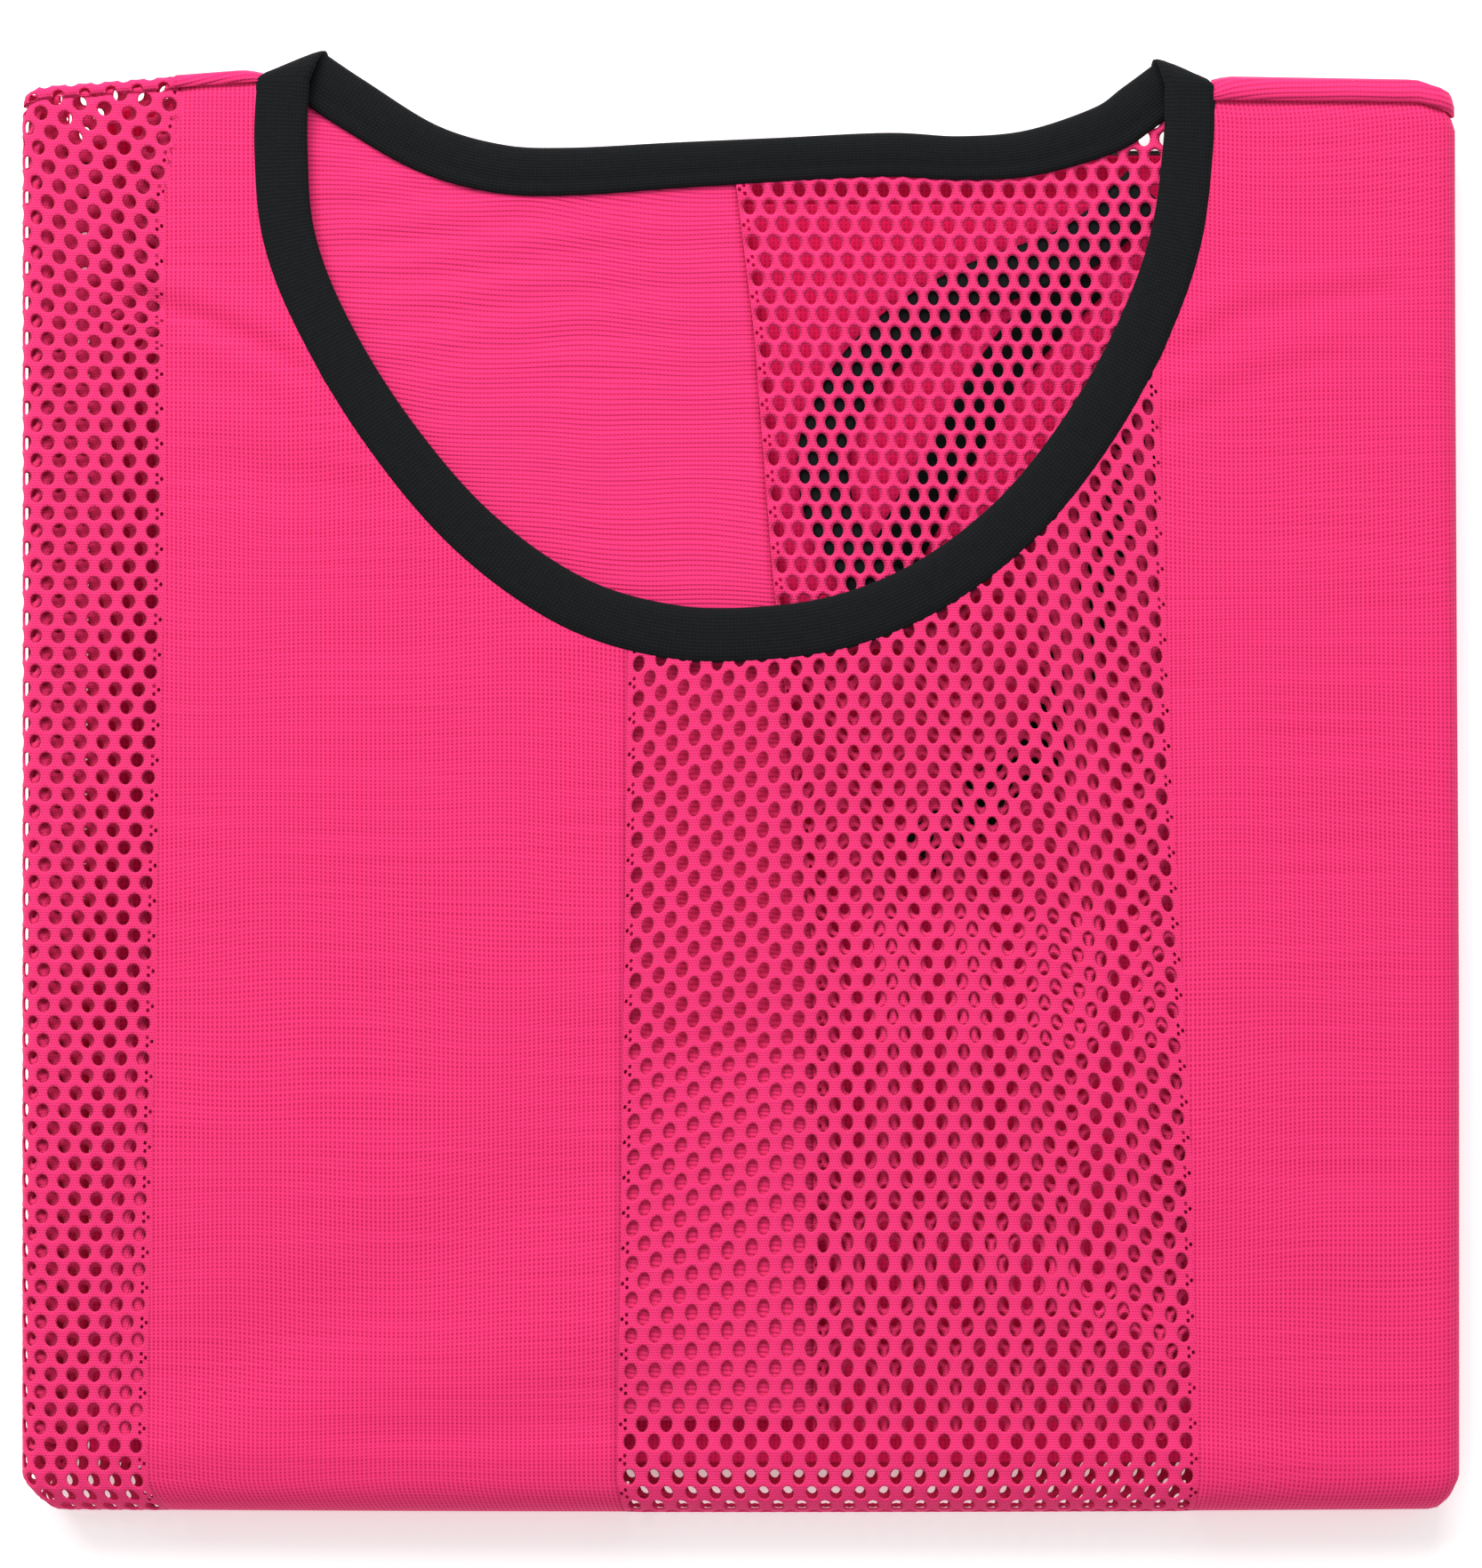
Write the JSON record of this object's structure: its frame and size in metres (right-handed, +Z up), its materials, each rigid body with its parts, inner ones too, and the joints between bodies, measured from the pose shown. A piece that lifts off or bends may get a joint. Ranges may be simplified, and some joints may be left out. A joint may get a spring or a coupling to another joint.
{
  "type": "mesh training bib",
  "caption": "Sleeveless mesh training bib in striped solid and open-mesh knit with dark bound neck, hem and armholes, folded flat with its front up",
  "frame": {"origin": "middle of the folded bib's footprint, on the surface it lies on", "axes": "+Z up through the thickness, +Y from the bottom fold towards the neck, +X to the wearer's left as seen from above"},
  "size_m": [0.2994, 0.3048, 0.0177],
  "materials": {
    "pink_cloth": "bright pink warp knit, solid and open-mesh stripes, slight sheen",
    "black_binding": "matt black knitted binding, folded over the edge and stitched"
  },
  "bodies": {
    "root": {"front_panel": "pink_cloth", "back_panel": "pink_cloth", "folded_layers": "pink_cloth", "neck_binding": "black_binding", "hem_binding_front": "black_binding", "hem_binding_back": "black_binding", "armhole_binding_outer": "black_binding", "armhole_binding_inner": "black_binding", "armhole_binding_lower": "black_binding"}
  },
  "joints": []
}
